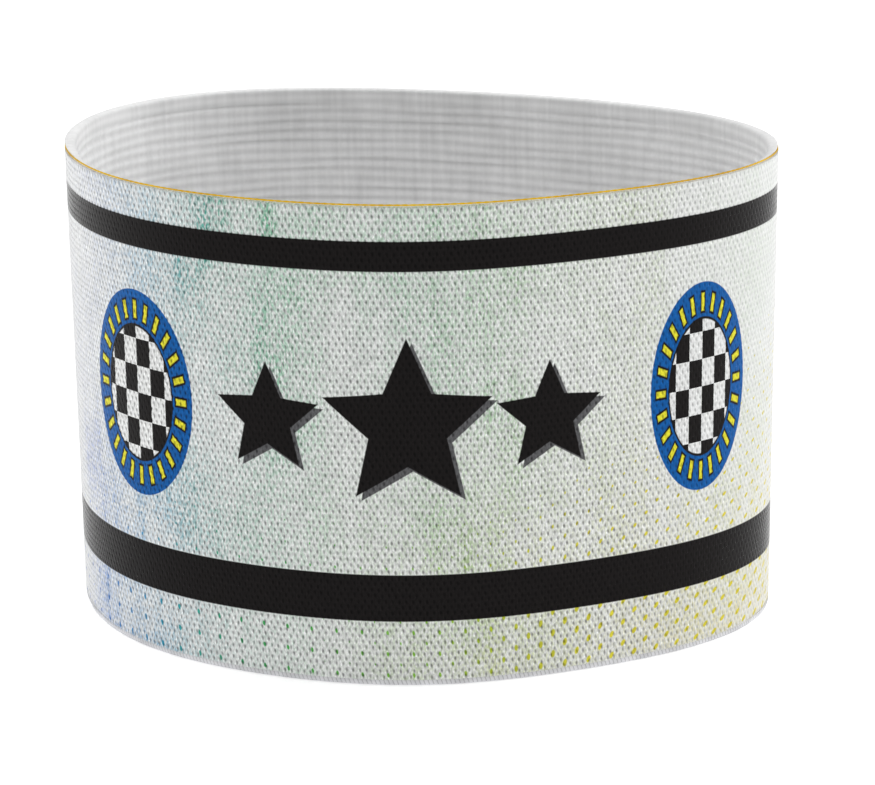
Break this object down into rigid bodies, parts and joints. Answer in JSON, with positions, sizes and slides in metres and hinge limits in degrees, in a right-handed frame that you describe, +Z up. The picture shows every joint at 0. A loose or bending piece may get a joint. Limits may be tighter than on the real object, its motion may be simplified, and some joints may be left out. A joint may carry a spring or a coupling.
{
  "type": "captain armband",
  "caption": "Seamless elastic captain armband standing open on its edge: a knitted loop, ribbed inside, printed outside, with a fine gold thread along the upper edge",
  "frame": {"origin": "the middle of the lower edge's bounding box, on the surface that the band stands on", "axes": "+X along the loop's width, to the right as seen from the front; +Y from the printed front to the back; +Z up, along the arm"},
  "size_m": [0.1128, 0.0918, 0.075],
  "materials": {
    "printed_elastic": "matte white knitted elastic, printed outside with a pale blue to green to yellow wash and two black bands, plain grey-white ribs inside",
    "gold_thread": "fine twisted gold-yellow thread with a soft shine"
  },
  "bodies": {
    "root": {"elastic_band": "printed_elastic", "gold_edge_thread": "gold_thread"}
  },
  "joints": []
}
